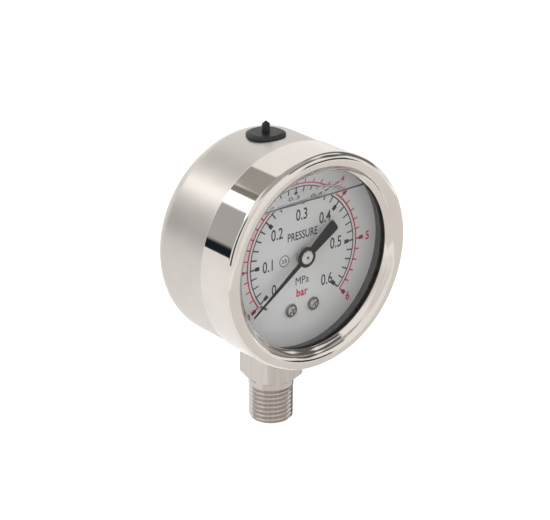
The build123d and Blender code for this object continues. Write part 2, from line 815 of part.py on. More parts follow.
# Socket: one bar, with the thread, a collar, the square wrench block and the tongue inside the case.
collar_top = thread_length + collar_height
tongue_top = dial_height - tongue_drop
rebate_top = dial_height - rebate_drop
thread_depth = thread_form * thread_pitch
groove_root = thread_pitch / 12
groove_mouth = groove_root + (thread_depth + groove_over) * tan(radians(thread_flank))
feed_height = dial_height - tube_radius * cos(radians(tube_start - 180))
feed_reach = tube_radius * sin(radians(tube_start - 180)) + tube_thickness / 4
feed_y = tube_y - tube_width / 4
with BuildPart() as thread_groove:
    with BuildLine() as groove_path:
        Helix(
            pitch=thread_pitch,
            height=thread_length + thread_pitch,
            radius=thread_diameter / 2 - thread_depth,
            center=(0, 0, -thread_pitch),
        )
    with BuildSketch(
        Plane(origin=groove_path.line @ 0, x_dir=(1, 0, 0), z_dir=groove_path.line % 0)
    ):
        Polygon(
            (0, -groove_root),
            (thread_depth + groove_over, -groove_mouth),
            (thread_depth + groove_over, groove_mouth),
            (0, groove_root),
            align=None,
        )
    sweep(path=groove_path.line, is_frenet=True)

with BuildPart() as socket:
    with BuildSketch(Plane.XY):
        Circle(thread_diameter / 2)
    extrude(amount=thread_length)
    add(thread_groove.part, mode=Mode.SUBTRACT)
    with BuildSketch(Plane.XY.offset(thread_length)):
        Circle(collar_diameter / 2)
    extrude(amount=collar_height)
    with BuildSketch(Plane.XY.offset(collar_top)):
        Rectangle(wrench_flats, wrench_flats)
    extrude(amount=tongue_top - collar_top)
    cone_reach = wrench_flats - collar_diameter / 2
    with BuildSketch(Plane.XZ):
        Polygon(
            (collar_diameter / 2, collar_top),
            (collar_diameter / 2 + cone_reach, collar_top),
            (
                collar_diameter / 2 + cone_reach,
                collar_top + cone_reach * tan(radians(wrench_chamfer_angle)),
            ),
            align=None,
        )
    revolve(axis=Axis.Z, mode=Mode.SUBTRACT)
    with BuildSketch(Plane.XZ):
        Polygon(
            (thread_diameter / 2 - end_chamfer, 0),
            (thread_diameter / 2 + end_chamfer, 0),
            (thread_diameter / 2 + end_chamfer, 2 * end_chamfer),
            align=None,
        )
    revolve(axis=Axis.Z, mode=Mode.SUBTRACT)
    with BuildSketch(Plane.XY.offset(rebate_top)):
        with Locations((0, tongue_face - wrench_flats / 2)):
            Rectangle(wrench_flats, wrench_flats)
    extrude(amount=tongue_top - rebate_top, mode=Mode.SUBTRACT)
    with BuildSketch(Plane.XY):
        Circle(port_diameter / 2)
    extrude(amount=port_depth, mode=Mode.SUBTRACT)
    with BuildSketch(Plane.XY.offset(port_depth)):
        Circle(restrictor_diameter / 2)
    extrude(amount=restrictor_length, mode=Mode.SUBTRACT)
    with BuildSketch(Plane.XY):
        Circle(bore_diameter / 2)
    extrude(amount=feed_height + bore_diameter / 4, mode=Mode.SUBTRACT)
    with BuildSketch(Plane(origin=(0, feed_y, feed_height), x_dir=(0, 1, 0), z_dir=(-1, 0, 0))):
        Circle(feed_diameter / 2)
    extrude(amount=feed_reach, mode=Mode.SUBTRACT)
    with BuildSketch(radial_plane(tube_start - 1)):
        with Locations((tube_y, tube_radius)):
            SlotOverall(pocket_width, pocket_thickness)
    revolve(axis=dial_axis, revolution_arc=pocket_arc, mode=Mode.SUBTRACT)
    with BuildSketch(dial_plane(tongue_face)):
        with Locations(*screw_spots, *screw_line):
            Circle(movement_screw_diameter / 2)
    extrude(amount=-screw_reach, mode=Mode.SUBTRACT)
save(socket, "socket")

# Restrictor: a slotted grub screw with a fine hole that damps pressure shocks, seated behind the port.
with BuildPart() as restrictor_screw:
    with BuildSketch(Plane.XY.offset(port_depth)):
        Circle(restrictor_diameter / 2)
        Circle(restrictor_hole / 2, mode=Mode.SUBTRACT)
    extrude(amount=restrictor_length)
    with BuildSketch(Plane.XY.offset(port_depth)):
        Rectangle(restrictor_diameter, restrictor_diameter / 6)
    extrude(amount=restrictor_slot, mode=Mode.SUBTRACT)
save(restrictor_screw, "restrictor_screw")

# Fill plug: a rubber plug whose flange follows the case, with a shank in the hole and a nib to pull it by.
case_top = dial_height + case_radius
plug_top = case_top + plug_rim + plug_crown
with BuildPart() as fill_plug:
    with BuildSketch(Plane(origin=(0, plug_y, 0), x_dir=(1, 0, 0), z_dir=(0, -1, 0))):
        Polygon(
            (0, case_top - plug_flange / 4),
            (plug_flange / 2, case_top - plug_flange / 4),
            (plug_flange / 2, case_top + plug_rim),
            (plug_crown_diameter / 2, plug_top),
            (0, plug_top),
            align=None,
        )
    revolve(axis=Axis((0, plug_y, 0), (0, 0, 1)))
    with BuildSketch(Plane(origin=(0, plug_y + plug_flange, dial_height), x_dir=(1, 0, 0), z_dir=(0, -1, 0))):
        Circle(case_radius + plug_seat_gap)
    extrude(amount=2 * plug_flange, mode=Mode.SUBTRACT)
    with BuildSketch(Plane.XY.offset(case_top - case_wall - plug_tail)):
        with Locations((0, plug_y)):
            Circle(plug_hole / 2 - plug_fit)
    extrude(amount=case_wall + plug_tail + plug_rim)
    with BuildSketch(Plane(origin=(0, plug_y, 0), x_dir=(1, 0, 0), z_dir=(0, -1, 0))):
        Polygon(
            (0, case_top),
            (nib_diameter / 2, case_top),
            (nib_diameter / 2, plug_top + nib_height - nib_point),
            (nib_diameter / 10, plug_top + nib_height),
            (0, plug_top + nib_height),
            align=None,
        )
    revolve(axis=Axis((0, plug_y, 0), (0, 0, 1)))
save(fill_plug, "fill_plug")
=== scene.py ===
from math import acos, atan2, cos, degrees, exp, pi, radians, sin

import bmesh
import bpy
from mathutils import Matrix, Vector


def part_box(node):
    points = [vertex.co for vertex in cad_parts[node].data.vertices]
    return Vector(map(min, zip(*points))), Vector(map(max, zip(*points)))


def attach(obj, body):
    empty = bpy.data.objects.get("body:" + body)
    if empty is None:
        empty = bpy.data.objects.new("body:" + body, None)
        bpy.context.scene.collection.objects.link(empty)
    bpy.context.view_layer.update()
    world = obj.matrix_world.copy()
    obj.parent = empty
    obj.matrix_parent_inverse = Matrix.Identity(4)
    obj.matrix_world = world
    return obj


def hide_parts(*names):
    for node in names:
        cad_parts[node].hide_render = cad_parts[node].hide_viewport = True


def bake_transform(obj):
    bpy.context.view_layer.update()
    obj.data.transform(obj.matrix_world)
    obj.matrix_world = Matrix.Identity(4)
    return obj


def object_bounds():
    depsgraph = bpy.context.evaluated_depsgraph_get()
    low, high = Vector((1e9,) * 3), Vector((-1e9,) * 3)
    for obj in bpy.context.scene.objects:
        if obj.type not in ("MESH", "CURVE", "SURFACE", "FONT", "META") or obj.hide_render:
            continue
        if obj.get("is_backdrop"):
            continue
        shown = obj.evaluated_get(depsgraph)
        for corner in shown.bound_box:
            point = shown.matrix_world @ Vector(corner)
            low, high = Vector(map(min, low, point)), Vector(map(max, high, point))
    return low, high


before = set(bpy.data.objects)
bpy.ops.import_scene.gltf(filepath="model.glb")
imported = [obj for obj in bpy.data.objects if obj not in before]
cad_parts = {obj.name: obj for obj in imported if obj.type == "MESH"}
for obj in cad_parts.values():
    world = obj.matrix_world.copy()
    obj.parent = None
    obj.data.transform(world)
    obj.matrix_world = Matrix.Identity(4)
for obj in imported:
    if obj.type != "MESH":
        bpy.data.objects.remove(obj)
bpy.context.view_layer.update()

# Camera. A long lens looks down on the gauge from its left, so the dial, the side of the
# case and the fill plug all show.
view_turn = radians(-39.3)
view_height = radians(23.1)
view_distance = 0.6634
view_roll = radians(0.34)
view_target = Vector((-0.0044, -0.0070, 0.0570))
lens = bpy.data.cameras.new("camera")
lens.lens = 142.6
lens.sensor_width = 36.0
lens.clip_start = 0.01
camera = bpy.data.objects.new("camera", lens)
bpy.context.scene.collection.objects.link(camera)
away = Vector(
    (sin(view_turn) * cos(view_height), -cos(view_turn) * cos(view_height), sin(view_height))
)
camera.matrix_world = (
    Matrix.Translation(view_target + view_distance * away)
    @ away.to_track_quat("Z", "Y").to_matrix().to_4x4()
    @ Matrix.Rotation(view_roll, 4, "Z")
)
bpy.context.scene.camera = camera
bpy.context.scene.view_settings.view_transform = "Standard"


# Floor and room. A white sweep of paper lies below the hanging gauge, in a pale studio. Its
# walls have a few darker panels and its floor a few cards, which polished steel needs to show
# its shape. Two softboxes light it.
floor_drop = 0.16
floor_size = 8.0
floor_mesh = bpy.data.meshes.new("floor")
floor_mesh.from_pydata(
    [
        (-floor_size, -floor_size, -floor_drop),
        (floor_size, -floor_size, -floor_drop),
        (floor_size, floor_size, -floor_drop),
        (-floor_size, floor_size, -floor_drop),
    ],
    [],
    [(0, 1, 2, 3)],
)
floor = bpy.data.objects.new("floor", floor_mesh)
bpy.context.scene.collection.objects.link(floor)
floor_paper = bpy.data.materials.new("floor_paper")
floor_paper.use_nodes = True
paper_shader = floor_paper.node_tree.nodes["Principled BSDF"]
paper_shader.inputs["Base Color"].default_value = (0.92, 0.92, 0.92, 1)
paper_shader.inputs["Roughness"].default_value = 0.9
paper_shader.inputs["Emission Color"].default_value = (1.0, 1.0, 1.0, 1)
paper_shader.inputs["Emission Strength"].default_value = 0.24
floor_mesh.materials.append(floor_paper)
floor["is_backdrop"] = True


def put(tree, kind, **values):
    """A node of this kind, with its inputs or settings given by name."""
    node = tree.nodes.new(kind)
    for key, value in values.items():
        name = key.replace("_", " ")
        if name in node.inputs:
            node.inputs[name].default_value = value
        else:
            setattr(node, key, value)
    return node


room = bpy.data.worlds.new("room")
room.use_nodes = True
bpy.context.scene.world = room
air = room.node_tree
air.nodes.clear()
way = put(air, "ShaderNodeTexCoord")
heading = put(air, "ShaderNodeSeparateXYZ")
air.links.new(way.outputs["Generated"], heading.inputs[0])


def reckon(tree, operation, first, second=None):
    """The result of one sum on numbers or other nodes' results."""
    node = put(tree, "ShaderNodeMath", operation=operation)
    for socket, value in zip(node.inputs, (first, second)):
        if isinstance(value, (int, float)):
            socket.default_value = value
        elif value is not None:
            tree.links.new(value, socket)
    return node.outputs[0]


# the way a reflection looks, in degrees round the room and up, with a slow waver in height
# that makes the panels' edges as uneven as a real room's
degrees_per_radian = 180 / pi
waver_degrees = 6.0
waver = put(air, "ShaderNodeTexNoise", Scale=22.0, Detail=3.0)
air.links.new(way.outputs["Generated"], waver.inputs["Vector"])
wander = reckon(air, "MULTIPLY", reckon(air, "SUBTRACT", waver.outputs["Fac"], 0.5), waver_degrees)
bearing = reckon(air, "ARCTAN2", heading.outputs["X"], heading.outputs["Y"])
compass = reckon(air, "MULTIPLY", bearing, degrees_per_radian)
pitch = reckon(air, "MULTIPLY", reckon(air, "ARCSINE", heading.outputs["Z"]), degrees_per_radian)
elevation = reckon(air, "ADD", pitch, wander)


def within(angle, low, high, soft):
    """One inside the range, falling to nothing over a soft edge."""
    off = reckon(air, "ABSOLUTE", reckon(air, "SUBTRACT", angle, (low + high) / 2))
    edge = put(air, "ShaderNodeMapRange", interpolation_type="SMOOTHSTEP")
    edge.inputs["From Min"].default_value = (high - low) / 2 + soft
    edge.inputs["From Max"].default_value = (high - low) / 2 - soft
    air.links.new(off, edge.inputs["Value"])
    return edge.outputs["Result"]


# each panel: its span round the room from straight behind, its span in height, the softness
# of its edges, all in degrees, and its light
panels = (
    (-180, 180, 60, 95, 6, (0.50, 0.49, 0.48)),
    (118, 166, 44, 60, 3, (0.15, 0.145, 0.14)),
    (94, 128, 27, 50, 3, (0.15, 0.145, 0.14)),
    (68, 106, 4, 34, 3, (0.20, 0.19, 0.185)),
    (50, 74, 14, 66, 3, (0.20, 0.19, 0.185)),
    (126, 150, -4, 15, 1.5, (0.07, 0.09, 0.095)),
    (-100, -74, -8, 42, 3, (0.10, 0.10, 0.10)),
    (-150, -116, 0, 50, 8, (0.86, 0.83, 0.80)),
    (-56, -30, 6, 29.5, 1.0, (0.50, 0.495, 0.49)),
    (-54, -30, -8, 6, 1.2, (0.012, 0.016, 0.02)),
    (-48, -22, 31, 36, 1.2, (6.0, 5.9, 5.8)),
    (-24, -18, 37, 41, 1.0, (0.26, 0.24, 0.22)),
    (-20, 5, 40, 60, 1.2, (0.43, 0.41, 0.385)),
)
pale = put(air, "ShaderNodeRGB")
pale.outputs[0].default_value = (1.08, 1.06, 1.04, 1)
light = pale.outputs[0]
for left, right, low, high, soft, shade in panels:
    across = within(compass, left, right, soft)
    upward = within(elevation, low, high, soft)
    hung = put(air, "ShaderNodeMix", data_type="RGBA")
    hung.inputs[7].default_value = (*shade, 1)
    air.links.new(reckon(air, "MULTIPLY", across, upward), hung.inputs[0])
    air.links.new(light, hung.inputs[6])
    light = hung.outputs[2]
walls = put(air, "ShaderNodeBackground", Strength=1.0)
air.links.new(light, walls.inputs["Color"])
plain = put(air, "ShaderNodeBackground", Strength=1.0)
plain.inputs["Color"].default_value = (1, 1, 1, 1)
seen = put(air, "ShaderNodeLightPath")
choice = put(air, "ShaderNodeMixShader")
air.links.new(seen.outputs["Is Camera Ray"], choice.inputs[0])
air.links.new(walls.outputs[0], choice.inputs[1])
air.links.new(plain.outputs[0], choice.inputs[2])
sky_out = put(air, "ShaderNodeOutputWorld")
air.links.new(choice.outputs[0], sky_out.inputs["Surface"])


def softbox(name, place, width, height, watts, colour):
    """A soft lamp aimed at the gauge, which polished steel doesn't mirror."""
    lamp = bpy.data.lights.new(name, "AREA")
    lamp.shape = "RECTANGLE"
    lamp.size = width
    lamp.size_y = height
    lamp.energy = watts
    lamp.color = colour
    box = bpy.data.objects.new(name, lamp)
    bpy.context.scene.collection.objects.link(box)
    facing = (Vector(place) - lamp_aim).to_track_quat("Z", "Y").to_matrix().to_4x4()
    box.matrix_world = Matrix.Translation(place) @ facing
    box.visible_glossy = False


lamp_aim = Vector((0, 0, 0.05))
softbox("key_softbox", (-1.1, -0.9, 1.1), 0.9, 0.9, 3.0, (1, 0.98, 0.95))
softbox("fill_softbox", (1.6, -0.6, 0.75), 0.7, 0.8, 10.0, (0.97, 0.98, 1.0))


def floor_card(name, corners, shade, lift):
    """A card just above the floor that only the bright metal sees."""
    mesh = bpy.data.meshes.new(name)
    mesh.from_pydata([(x, y, lift - floor_drop) for x, y in corners], [], [(0, 1, 2, 3)])
    board = bpy.data.objects.new(name, mesh)
    bpy.context.scene.collection.objects.link(board)
    paper = bpy.data.materials.new(name)
    paper.use_nodes = True
    surface = paper.node_tree.nodes["Principled BSDF"]
    surface.inputs["Base Color"].default_value = (0, 0, 0, 1)
    surface.inputs["Roughness"].default_value = 1.0
    surface.inputs["Emission Color"].default_value = (*shade, 1)
    surface.inputs["Emission Strength"].default_value = 1.0
    mesh.materials.append(paper)
    for seen_by in ("camera", "diffuse", "transmission", "shadow", "volume_scatter"):
        setattr(board, "visible_" + seen_by, False)
    board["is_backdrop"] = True


front_corners = ((-0.5, -0.05), (-0.5, -1.0), (1.2, -1.0), (1.2, -0.05))
side_corners = ((0.05, -0.05), (1.2, -0.05), (1.2, 0.5), (0.3, 0.5))
dark_corners = ((0.20, 0.03), (0.34, 0.03), (0.34, 0.12), (0.20, 0.12))
floor_card("front_card", front_corners, (0.86, 0.83, 0.795), 0.010)
floor_card("side_card", side_corners, (0.80, 0.77, 0.735), 0.010)
floor_card("dark_card", dark_corners, (0.20, 0.19, 0.18), 0.012)

# Case. A drawn cup of stainless sheet, satin all over from a fine belt that ran round it.
# It is pressed to shape in one piece, so it has no seam. Its axis is the dial's, which runs
# front to back through the middle of the window.
window_low, window_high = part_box("window")
axis_height = (window_low.z + window_high.z) / 2


def new_group(name, inputs, outputs):
    """An empty shader group with float, vector or colour sockets."""
    kinds = {"f": "NodeSocketFloat", "v": "NodeSocketVector", "c": "NodeSocketColor"}
    tree = bpy.data.node_groups.new(name, "ShaderNodeTree")
    for socket, kind, value in inputs:
        made = tree.interface.new_socket(socket, in_out="INPUT", socket_type=kinds[kind])
        made.default_value = value
    for socket, kind in outputs:
        tree.interface.new_socket(socket, in_out="OUTPUT", socket_type=kinds[kind])
    return tree, tree.nodes.new("NodeGroupInput"), tree.nodes.new("NodeGroupOutput")


# grain that runs round the dial's axis, as a belt or a lathe leaves it
ring_grain, take, give = new_group(
    "ring_grain",
    [("Vector", "v", (0, 0, 0)), ("Along", "f", 6.0), ("Across", "f", 3000.0)],
    [("Shade", "f"), ("Height", "f")],
)
parts = put(ring_grain, "ShaderNodeSeparateXYZ")
ring_grain.links.new(take.outputs["Vector"], parts.inputs[0])
rise = reckon(ring_grain, "SUBTRACT", parts.outputs["Z"], axis_height)
turn = reckon(ring_grain, "ARCTAN2", rise, parts.outputs["X"])
flat = put(ring_grain, "ShaderNodeCombineXYZ")
ring_grain.links.new(parts.outputs["X"], flat.inputs[0])
ring_grain.links.new(rise, flat.inputs[1])
reach = put(ring_grain, "ShaderNodeVectorMath", operation="LENGTH")
ring_grain.links.new(flat.outputs[0], reach.inputs[0])
unrolled = put(ring_grain, "ShaderNodeCombineXYZ")
stretches = (
    (turn, take.outputs["Along"]),
    (reach.outputs["Value"], take.outputs["Across"]),
    (parts.outputs["Y"], take.outputs["Across"]),
)
for socket, (length, stretch) in zip(unrolled.inputs, stretches):
    ring_grain.links.new(reckon(ring_grain, "MULTIPLY", length, stretch), socket)
lines = put(ring_grain, "ShaderNodeTexNoise", Scale=1.0, Detail=4.0, Roughness=0.65)
ring_grain.links.new(unrolled.outputs[0], lines.inputs["Vector"])
ring_grain.links.new(lines.outputs["Fac"], give.inputs["Shade"])
ring_grain.links.new(lines.outputs["Fac"], give.inputs["Height"])

# soft patches, as handling and uneven polishing leave
patches, take, give = new_group(
    "patches",
    [("Vector", "v", (0, 0, 0)), ("Size", "f", 60.0), ("Low", "f", 0.35), ("High", "f", 0.7)],
    [("Mask", "f")],
)
cloud = put(patches, "ShaderNodeTexNoise", Detail=3.0, Roughness=0.55)
patches.links.new(take.outputs["Vector"], cloud.inputs["Vector"])
patches.links.new(take.outputs["Size"], cloud.inputs["Scale"])
keep = put(patches, "ShaderNodeMapRange", interpolation_type="SMOOTHSTEP")
patches.links.new(cloud.outputs["Fac"], keep.inputs["Value"])
patches.links.new(take.outputs["Low"], keep.inputs["From Min"])
patches.links.new(take.outputs["High"], keep.inputs["From Max"])
patches.links.new(keep.outputs["Result"], give.inputs["Mask"])


def new_material(name):
    """A material, its tree, its shader, and the place on the object that patterns follow."""
    material = bpy.data.materials.new(name)
    material.use_nodes = True
    tree = material.node_tree
    where = put(tree, "ShaderNodeTexCoord")
    return material, tree, tree.nodes["Principled BSDF"], where.outputs["Object"]


def place_group(tree, group, spot, **values):
    """One of the shared effects, placed in a material with its own values."""
    node = tree.nodes.new("ShaderNodeGroup")
    node.node_tree = group
    tree.links.new(spot, node.inputs["Vector"])
    for key, value in values.items():
        node.inputs[key].default_value = value
    return node


def tint(shader, mask, dark, light):
    """Colour that runs from dark to light with the mask."""
    tree = shader.id_data
    mix = put(tree, "ShaderNodeMix", data_type="RGBA")
    mix.inputs[6].default_value = (*dark, 1)
    mix.inputs[7].default_value = (*light, 1)
    tree.links.new(mask, mix.inputs[0])
    tree.links.new(mix.outputs[2], shader.inputs["Base Color"])


def sheen_range(shader, mask, smooth, rough):
    """Roughness that runs from smooth to rough with the mask."""
    tree = shader.id_data
    run = put(tree, "ShaderNodeMapRange")
    run.inputs["To Min"].default_value = smooth
    run.inputs["To Max"].default_value = rough
    tree.links.new(mask, run.inputs["Value"])
    tree.links.new(run.outputs["Result"], shader.inputs["Roughness"])


def roughen(shader, height, strength, depth):
    """Small relief from a height."""
    tree = shader.id_data
    relief = put(tree, "ShaderNodeBump", Strength=strength, Distance=depth)
    tree.links.new(height, relief.inputs["Height"])
    tree.links.new(relief.outputs["Normal"], shader.inputs["Normal"])


grain_depth = 0.00002


def ring_steel(name, dark, light, smooth, rough, relief, across=3000.0, along=6.0, patch=60.0):
    """Stainless steel finished round the dial's axis."""
    material, tree, shader, spot = new_material(name)
    shader.inputs["Metallic"].default_value = 1.0
    grain = place_group(tree, ring_grain, spot, Across=across, Along=along)
    worn = place_group(tree, patches, spot, Size=patch)
    tint(shader, worn.outputs["Mask"], dark, light)
    sheen_range(shader, grain.outputs["Shade"], smooth, rough)
    roughen(shader, grain.outputs["Height"], relief, grain_depth)
    return material


def wear(node, material):
    """Gives a carried-over solid its finish."""
    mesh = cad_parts[node].data
    mesh.materials.clear()
    mesh.materials.append(material)


case_steel = ring_steel(
    "case_steel",
    dark=(0.60, 0.57, 0.543),
    light=(0.64, 0.61, 0.583),
    smooth=0.33,
    rough=0.42,
    relief=0.06,
)
wear("case", case_steel)

# Bezel. A ring rolled from thin stainless sheet and buffed to a mirror. It snaps over the
# case's rim: plain side band, rounded corner, broad crown, and a crease down to the lip.
mm = 0.001
bezel_low, bezel_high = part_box("bezel")
side = bezel_high.x
bezel_rear = bezel_high.y
bezel_front = bezel_low.y
bezel_sheet = 0.6 * mm
corner_radius = 2.4 * mm
crown_roll = 2.67 * mm
crown_top = side - corner_radius
crease = (bezel_front + 1.5 * mm, side - 4.8 * mm)
lip = (bezel_front + 2.8 * mm, side - 6.35 * mm)
# steps forward and inward round the hem, with a last one that keeps the mirror band flat
hem_steps = ((0, 0.15 * mm), (0.06 * mm, 0.05 * mm), (0.2 * mm, 0), (0.3 * mm, 0))
band_end = 0.1 * mm
# steps back and outward round the lip's edge, and the one to the inside of the crease
lip_steps = ((-0.08 * mm, 0.08 * mm), (0.05 * mm, 0), (0.45 * mm, 0.35 * mm))
crease_step = (0.45 * mm, 0.40 * mm)
bezel_turns = 320
crisp_angle = radians(30)


def arc_points(centre, radius, start, end, steps):
    """Points (y, r) on an arc, angles in degrees from the rearward direction."""
    found = []
    for step in range(steps + 1):
        angle = radians(start + (end - start) * step / steps)
        found.append((centre[0] + radius * cos(angle), centre[1] + radius * sin(angle)))
    return found


def solid_from(name, shape):
    """An object made from a finished shape, with its faces turned outward."""
    bmesh.ops.recalc_face_normals(shape, faces=shape.faces)
    mesh = bpy.data.meshes.new(name)
    shape.to_mesh(mesh)
    shape.free()
    made = bpy.data.objects.new(name, mesh)
    bpy.context.scene.collection.objects.link(made)
    return made


corner_centre = (bezel_front + corner_radius, crown_top)
roll_centre = (bezel_front + crown_roll, crown_top)
roll_end = degrees(atan2(crease[1] - roll_centre[1], crease[0] - roll_centre[0])) % 360
outline = [(bezel_rear, side - bezel_sheet)]
outline += [(bezel_rear - forward, side - inward) for forward, inward in hem_steps]
outline.append((bezel_front + corner_radius + band_end, side))
outline += arc_points(corner_centre, corner_radius, 90, 180, 16)
outline += arc_points(roll_centre, crown_roll, 180, roll_end, 14)[1:]
outline.append((0.5 * (lip[0] + crease[0]), 0.5 * (lip[1] + crease[1])))
outline += [(lip[0] + back, lip[1] + outward) for back, outward in lip_steps]
outline.append((crease[0] + crease_step[0], crease[1] + crease_step[1]))
outline.append((bezel_front + bezel_sheet, crown_top))
outline += arc_points(corner_centre, corner_radius - bezel_sheet, 180, 90, 8)[1:]
shape = bmesh.new()
rings = []
for y, r in outline:
    ring = []
    for k in range(bezel_turns):
        angle = 2 * pi * k / bezel_turns
        ring.append(shape.verts.new((r * sin(angle), y, axis_height + r * cos(angle))))
    rings.append(ring)
for first, second in zip(rings, rings[1:] + rings[:1]):
    for k in range(bezel_turns):
        after = (k + 1) % bezel_turns
        shape.faces.new((first[k], first[after], second[after], second[k]))
bezel = solid_from("bezel_ring", shape)
bezel.data.shade_smooth()
bezel.data.set_sharp_from_angle(angle=crisp_angle)
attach(bezel, "housing")
bezel_steel = ring_steel(
    "bezel_steel",
    dark=(0.68, 0.64, 0.605),
    light=(0.72, 0.685, 0.65),
    smooth=0.03,
    rough=0.07,
    relief=0.02,
    across=900.0,
    along=3.0,
    patch=40.0,
)
bezel.data.materials.append(bezel_steel)
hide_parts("bezel")

# Gasket. A moulded black rubber channel grips the window's edge, and its skirt runs back to
# the dial, so it also keeps the filling in.
gasket_rubber, tree, shader, spot = new_material("gasket_rubber")
bloom = place_group(tree, patches, spot, Size=900.0, Low=0.3, High=0.75)
tint(shader, bloom.outputs["Mask"], dark=(0.045, 0.045, 0.046), light=(0.09, 0.09, 0.091))
sheen_range(shader, bloom.outputs["Mask"], smooth=0.5, rough=0.7)
roughen(shader, bloom.outputs["Mask"], strength=0.25, depth=0.00005)
wear("window_gasket", gasket_rubber)

# Window and filling. A flat glass pane, with clear glycerine behind it up to a level line,
# which climbs a little at the glass. The two bend light almost alike, so one clear body
# stands for both.
pane_radius = window_high.x
pane_front = window_low.y
pane_rear = window_high.y
filling_radius = 29.7 * mm
dial_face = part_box("dial")[0].y
filling_rear = dial_face + 0.25 * mm
filling_level = 18.0 * mm
climb = 1.2 * mm
climb_width = 0.6 * mm
# depths behind the pane in mm, closest where the liquid climbs most steeply
climb_places = (0, 0.1, 0.2, 0.3, 0.4, 0.5, 0.6, 0.75, 0.9, 1.15, 1.5, 2.0, 2.8)
rim_turns = 160
level_steps = 24


def filling_loop(y):
    """Outline of the filling at this depth: an arc below, and the level line on top."""
    level = filling_level + climb * exp((pane_rear - y) / climb_width)
    end = acos(level / filling_radius)
    loop = []
    for k in range(rim_turns + 1):
        angle = end + (2 * pi - 2 * end) * k / rim_turns
        loop.append((filling_radius * sin(angle), y, axis_height + filling_radius * cos(angle)))
    half = filling_radius * sin(end)
    for k in range(1, level_steps):
        loop.append((-half + 2 * half * k / level_steps, y, axis_height + level))
    return loop


clear = bmesh.new()
front_loop = []
rear_loop = []
for k in range(rim_turns):
    x = pane_radius * sin(2 * pi * k / rim_turns)
    z = axis_height + pane_radius * cos(2 * pi * k / rim_turns)
    front_loop.append(clear.verts.new((x, pane_front, z)))
    rear_loop.append(clear.verts.new((x, pane_rear, z)))
clear.faces.new(front_loop)
for k in range(rim_turns):
    after = (k + 1) % rim_turns
    clear.faces.new((front_loop[k], front_loop[after], rear_loop[after], rear_loop[k]))
loops = []
for y in [pane_rear + place * mm for place in climb_places] + [filling_rear]:
    loops.append([clear.verts.new(point) for point in filling_loop(y)])
for first, second in zip(loops, loops[1:]):
    for k in range(len(first)):
        after = (k + 1) % len(first)
        clear.faces.new((first[k], first[after], second[after], second[k]))
clear.faces.new(loops[-1])
border = []
for loop in (rear_loop, loops[0]):
    for k in range(len(loop)):
        after = (k + 1) % len(loop)
        border.append(clear.edges.get((loop[k], loop[after])))
bmesh.ops.triangle_fill(clear, edges=border, use_beauty=True)
window_and_filling = solid_from("window_and_filling", clear)
window_and_filling.data.shade_smooth()
window_and_filling.data.set_sharp_from_angle(angle=crisp_angle)
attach(window_and_filling, "housing")
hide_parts("window")
clear_glass, tree, shader, spot = new_material("clear_glass")
shader.inputs["Base Color"].default_value = (1.0, 1.0, 1.0, 1)
shader.inputs["Transmission Weight"].default_value = 1.0
shader.inputs["IOR"].default_value = 1.47
wiped = place_group(tree, patches, spot, Size=120.0, Low=0.45, High=0.75)
sheen_range(shader, wiped.outputs["Mask"], smooth=0.0, rough=0.012)
# light goes straight through to the dial, with no hard shadow
rays = put(tree, "ShaderNodeLightPath")
through = put(tree, "ShaderNodeBsdfTransparent")
either = put(tree, "ShaderNodeMixShader")
tree.links.new(rays.outputs["Is Shadow Ray"], either.inputs[0])
tree.links.new(shader.outputs[0], either.inputs[1])
tree.links.new(through.outputs[0], either.inputs[2])
tree.links.new(either.outputs[0], tree.nodes["Material Output"].inputs["Surface"])
window_and_filling.data.materials.append(clear_glass)

# Dial. A flat aluminium disc, stamped and stove-enamelled white. Two screws hold it to the
# two posts that stand on the movement.
dial_paint, tree, shader, spot = new_material("dial_paint")
orange_peel = place_group(tree, patches, spot, Size=1500.0, Low=0.2, High=0.8)
cast = place_group(tree, patches, spot, Size=45.0, Low=0.3, High=0.75)
tint(shader, cast.outputs["Mask"], dark=(0.76, 0.775, 0.785), light=(0.80, 0.81, 0.815))
sheen_range(shader, orange_peel.outputs["Mask"], smooth=0.42, rough=0.55)
roughen(shader, orange_peel.outputs["Mask"], strength=0.08, depth=grain_depth)
wear("dial", dial_paint)

# Dial printing. Two scales share one sweep, a black one inside and a red one outside, in
# thin ink laid on the enamel by pad. Each division is nine degrees.
ink_depth = 0.03 * mm
ink_lift = 0.02 * mm
zero_angle = -126
full_angle = 135
division = 9
numbered = (-126, -90, -45, 0, 45, 90, 135)
black_arc = 20.13 * mm
black_arc_width = 0.38 * mm
black_short = 17.9 * mm
black_long = 16.7 * mm
red_arc = 21.25 * mm
red_arc_width = 0.5 * mm
red_short = 22.9 * mm
red_long = 24.25 * mm
fine_width = 0.44 * mm
bold_width = 0.5 * mm
bold_end_width = 1.3 * mm
bold_end_length = 1.8 * mm
bold_end_taper = 0.35 * mm


def ink_material(name, dark, light):
    """Printing ink, slightly uneven where it dried."""
    material, tree, shader, spot = new_material(name)
    dots = place_group(tree, patches, spot, Size=2200.0, Low=0.35, High=0.75)
    tint(shader, dots.outputs["Mask"], dark, light)
    sheen_range(shader, dots.outputs["Mask"], smooth=0.35, rough=0.55)
    return material


black_ink = ink_material("black_ink", (0.008, 0.009, 0.012), (0.018, 0.019, 0.024))
red_ink = ink_material("red_ink", (0.60, 0.006, 0.05), (0.70, 0.014, 0.07))


def on_dial(radius, angle, shift=0.0):
    """Point on the dial by radius and clock angle, moved sideways along its own tick."""
    turn = radians(angle)
    return (
        radius * sin(turn) + shift * cos(turn),
        axis_height + radius * cos(turn) - shift * sin(turn),
    )


